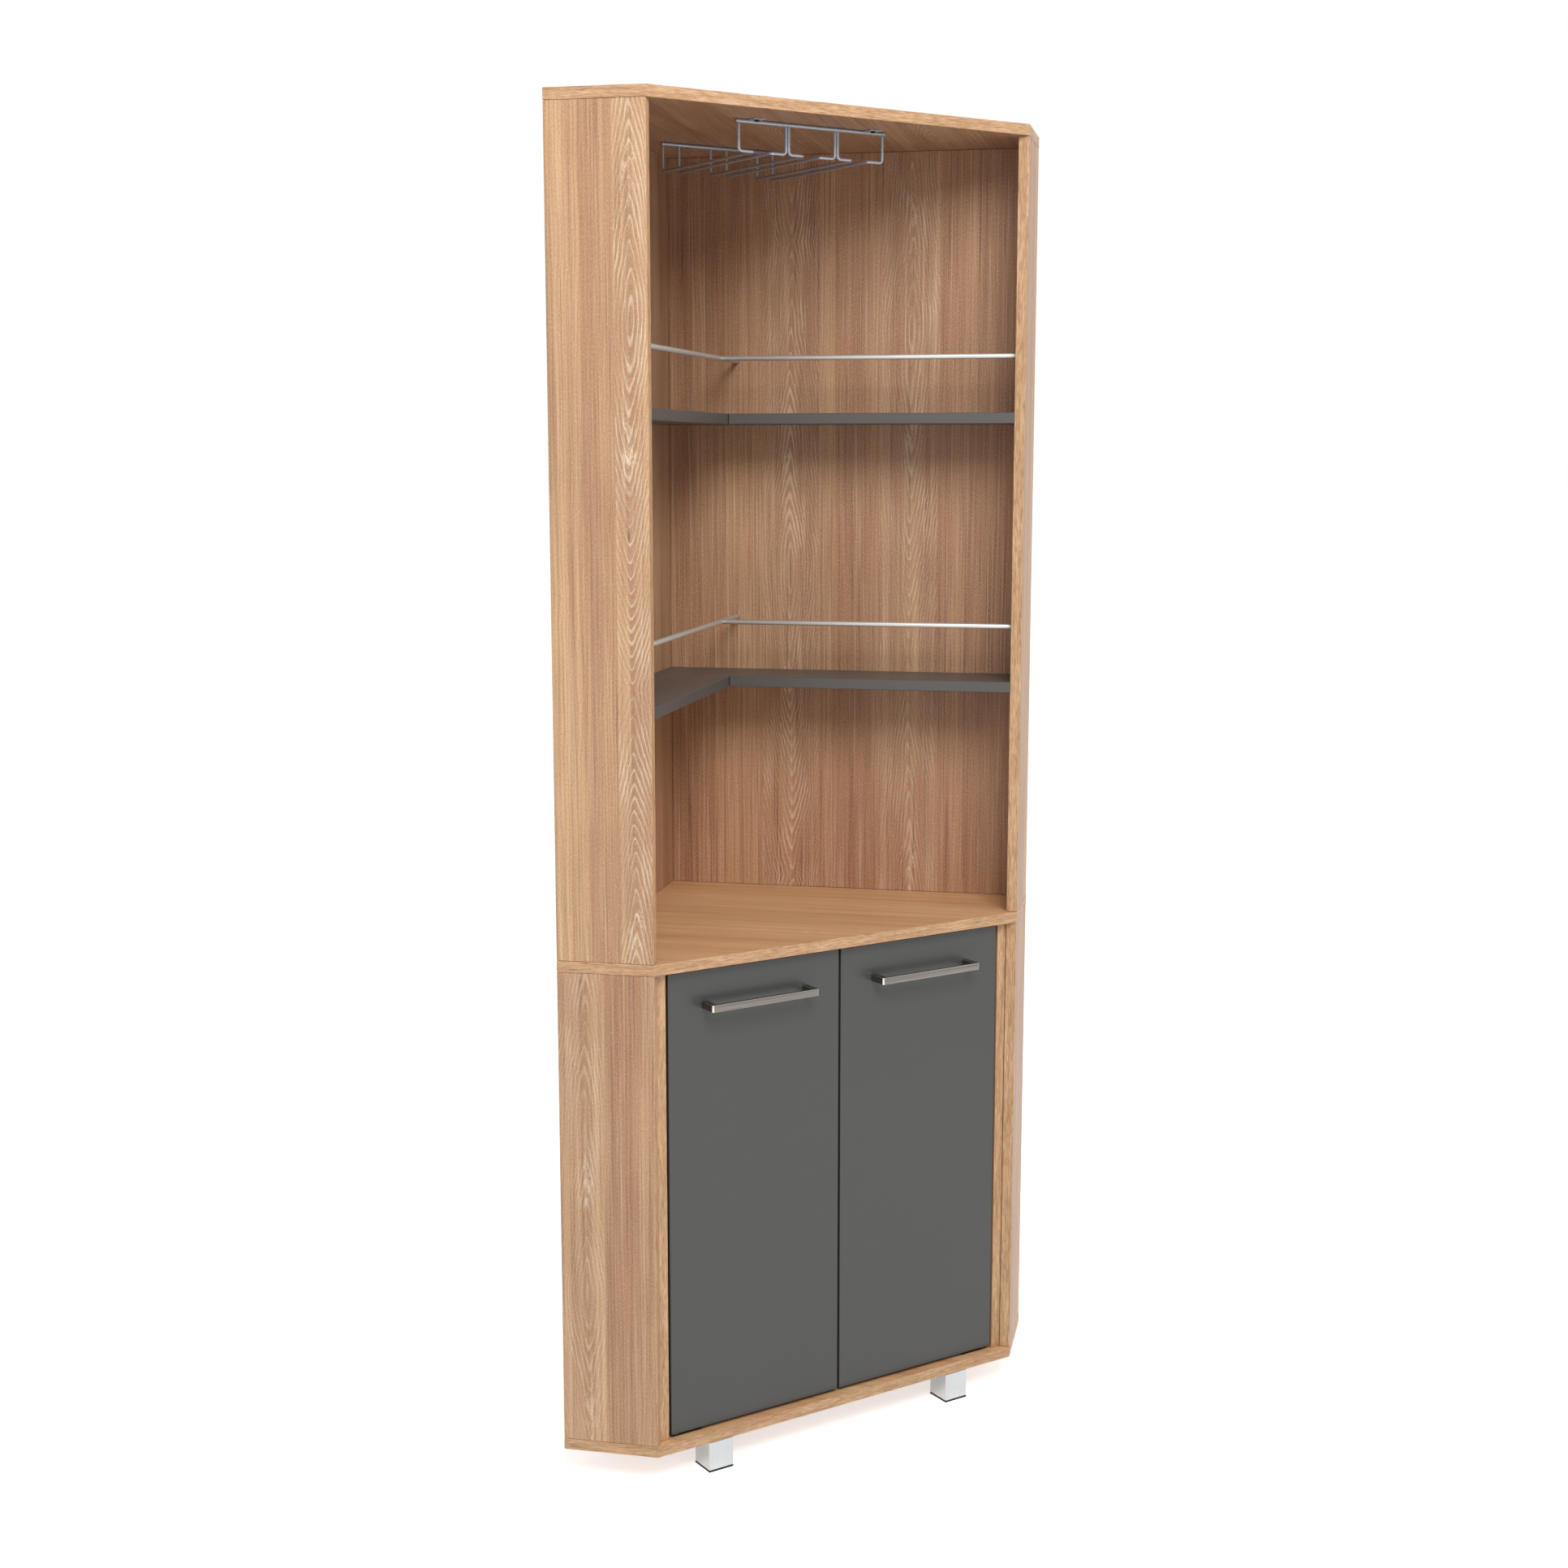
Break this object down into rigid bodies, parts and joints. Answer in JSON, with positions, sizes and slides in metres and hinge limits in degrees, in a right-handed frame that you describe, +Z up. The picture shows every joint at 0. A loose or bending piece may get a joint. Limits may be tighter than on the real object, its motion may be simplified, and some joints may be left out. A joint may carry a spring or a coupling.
{
  "type": "corner bar cabinet",
  "caption": "Tall corner cabinet with an open bar, L-shaped shelves with guard rods, a hanging rack for stemmed glasses and a cupboard with hinged doors.",
  "frame": {"origin": "on the floor, midway between the left and right ends and between the front of the handles and the back corner", "axes": "+Z up, +Y from the doors towards the back corner, +X to the right as one faces the doors"},
  "size_m": [0.7852, 0.5012, 1.814],
  "materials": {
    "oak_decor": "melamine-faced board with a matt printed oak grain and matching edge banding",
    "charcoal_board": "melamine-faced board in satin charcoal grey",
    "rack_steel": "cool grey satin steel wire",
    "rod_steel": "satin steel rod",
    "brushed_nickel": "brushed nickel",
    "leg_aluminium": "bright satin",
    "hinge_steel": "zinc plated",
    "dark_rubber": "matt black",
    "nylon": "matt black"
  },
  "bodies": {
    "case": {"bottom_board": "oak_decor", "door_post_left": "oak_decor", "door_post_right": "oak_decor", "foot_pad_back": "dark_rubber", "foot_pad_left": "dark_rubber", "foot_pad_right": "dark_rubber", "hinge_plate_left_bottom": "hinge_steel", "hinge_plate_left_top": "hinge_steel", "hinge_plate_right_bottom": "hinge_steel", "hinge_plate_right_top": "hinge_steel", "leg_back": "leg_aluminium", "leg_left": "leg_aluminium", "leg_right": "leg_aluminium", "lower_back_left": "oak_decor", "lower_back_right": "oak_decor", "lower_rod_left": "rod_steel", "lower_rod_right": "rod_steel", "lower_shelf": "charcoal_board", "lower_side_left": "oak_decor", "lower_side_right": "oak_decor", "magnetic_catch": "nylon", "rack_back_bar": "rack_steel", "rack_back_bar_screw_left": "hinge_steel", "rack_back_bar_screw_right": "hinge_steel", "rack_front_bar": "rack_steel", "rack_front_bar_screw_left": "hinge_steel", "rack_front_bar_screw_right": "hinge_steel", "rack_rail_1_left": "rack_steel", "rack_rail_1_right": "rack_steel", "rack_rail_2_left": "rack_steel", "rack_rail_2_right": "rack_steel", "rack_rail_3_left": "rack_steel", "rack_rail_3_right": "rack_steel", "top_board": "oak_decor", "upper_back_left": "oak_decor", "upper_back_right": "oak_decor", "upper_rod_left": "rod_steel", "upper_rod_right": "rod_steel", "upper_shelf": "charcoal_board", "upper_side_left": "oak_decor", "upper_side_right": "oak_decor", "worktop": "oak_decor"},
    "left_door": {"door_left": "charcoal_board", "handle_left": "brushed_nickel", "handle_left_screw_left": "hinge_steel", "handle_left_screw_right": "hinge_steel", "hinge_bush_left_bottom": "nylon", "hinge_bush_left_top": "nylon", "strike_plate_left": "hinge_steel"},
    "right_door": {"door_right": "charcoal_board", "handle_right": "brushed_nickel", "handle_right_screw_left": "hinge_steel", "handle_right_screw_right": "hinge_steel", "hinge_bush_right_bottom": "nylon", "hinge_bush_right_top": "nylon", "strike_plate_right": "hinge_steel"}
  },
  "joints": [
    {"name": "left_door_hinge", "type": "hinge", "parent": "case", "child": "left_door", "pos_m": [-0.26194, -0.21363, 0.38115], "axis": [0, 0, -1], "range_deg": [0, 100]},
    {"name": "right_door_hinge", "type": "hinge", "parent": "case", "child": "right_door", "pos_m": [0.26194, -0.21363, 0.38115], "axis": [0, 0, 1], "range_deg": [0, 100]}
  ]
}
